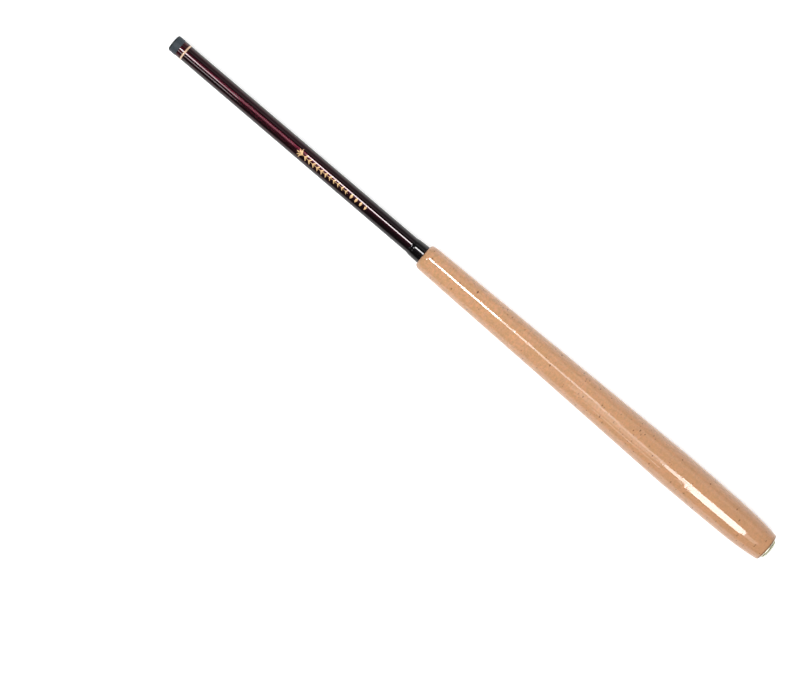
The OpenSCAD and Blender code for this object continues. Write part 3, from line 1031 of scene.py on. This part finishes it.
def area_lamp(name, centre, size_x, size_y, turn_degrees, radiance):
    """A rectangular lamp facing down, of an even radiance in which 1 is white."""
    data = bpy.data.lights.new(name, "AREA")
    data.shape = "RECTANGLE"
    data.size, data.size_y = size_x, size_y
    data.energy = 4 * radiance * size_x * size_y
    lamp = bpy.data.objects.new(name, data)
    lamp.location = (*centre, LAMP_HEIGHT)
    lamp.rotation_euler = (0, 0, math.radians(turn_degrees))
    lamp.visible_camera = False
    bpy.context.scene.collection.objects.link(lamp)


# Name, centre, size along and across the rod, turn in degrees, radiance
LAMPS = (
    ("strip_blank", (0.483, -0.29), (0.226, 0.48), 0, 24),
    ("strip_check", (0.3275, -0.17), (0.085, 0.50), 0, 27),
    ("strip_grip_1", (0.2425, -0.085), (0.085, 0.48), 0, 6.5),
    ("strip_grip_2", (0.148, 0.07), (0.104, 0.46), 0, 4),
    ("strip_grip_3", (0.073, 0.31), (0.046, 0.46), 0, 3.4),
    ("window_edge", (-0.01, 0.58), (0.12, 0.44), 0, 2.8),
    ("window_side", (-0.14, 0.86), (0.14, 0.77), 0, 8),
    ("window", (-0.42, 1.28), (0.40, 1.98), 4.5, 12),
    ("window_end", (-0.80, 1.3), (0.35, 1.2), 4.5, 1.6),
    ("sheen", (0.045, 1.15), (0.20, 1.5), 0, 1.2),
    ("thin_strip", (-0.05, 2.95), (0.22, 0.30), 0, 4.5),
    ("tip_strip_0", (0.915, 0.40), (0.17, 0.44), 0, 26),
    ("tip_strip_1", (0.821, 0.39), (0.018, 0.52), 0, 16),
    ("tip_strip_2", (0.79, 0.39), (0.045, 0.48), 0, 11),
    ("tip_strip_3", (0.75, 0.39), (0.035, 0.44), 0, 7),
    ("tip_side", (0.9475, 2.35), (0.205, 0.60), 0, 8),
    ("tip_dim", (0.68, 0.0), (0.12, 0.60), 0, 1.5),
    ("fill", (0.15, -2.6), (3.0, 1.8), 0, 0.45),
)


def make_lamps():
    for name, centre, size, turn, radiance in LAMPS:
        area_lamp(name, centre, *size, turn, radiance)


def build():
    bpy.context.scene.view_settings.view_transform = "Standard"
    make_camera()
    make_world()
    make_lamps()
    make_floor()
    cork = cork_material()
    lacquer = lacquer_material(
        "burgundy_lacquer", (0.030, 0.004, 0.008), (0.062, 0.010, 0.016), fades=True
    )
    black = lacquer_material("black_lacquer", (0.006, 0.005, 0.006), (0.015, 0.013, 0.014))
    inner = lacquer_material("section_lacquer", (0.030, 0.006, 0.009), (0.06, 0.014, 0.018))
    rubber = moulded_material("seal_rubber", (0.014, 0.014, 0.015), (0.020, 0.020, 0.021), 0.5)
    cap_metal = metal_material("champagne_metal", (0.80, 0.79, 0.62), (0.72, 0.71, 0.54), 0.42, 0.45 * MM)
    insert_metal = metal_material("turned_aluminium", (0.72, 0.72, 0.71), (0.62, 0.62, 0.62), 0.3)
    cork_rings(cork)
    blank_pieces(lacquer, inner, inner)
    winding_collar(black)
    wrap_and_trim(wrap_material(), gold_material("gold_thread", (0.86, 0.60, 0.41), (0.72, 0.48, 0.31), 0.2))
    screw_cap(cap_metal)
    threaded_insert(insert_metal)
    place(seal_ring("cap_seal_ring", "cap_o_ring", rubber), "cap_seal", "seal_rubber", "cap_o_ring")
    cap_cushion(moulded_material("pad_rubber", (0.020, 0.020, 0.021), (0.028, 0.028, 0.03), 0.7))
    plug_body(plug_material())
    place(seal_ring("plug_seal_ring", "plug_o_ring", rubber), "plug", "seal_rubber", "plug_o_ring")
    braided_cord(braid_material())
    braid_sleeve(moulded_material("sleeve_plastic", (0.012, 0.012, 0.013), (0.018, 0.018, 0.019), 0.4))
    gold_scroll(gold_material("gold_foil", (0.78, 0.51, 0.25), (0.60, 0.36, 0.16), 0.25))


build()
bpy.context.view_layer.update()
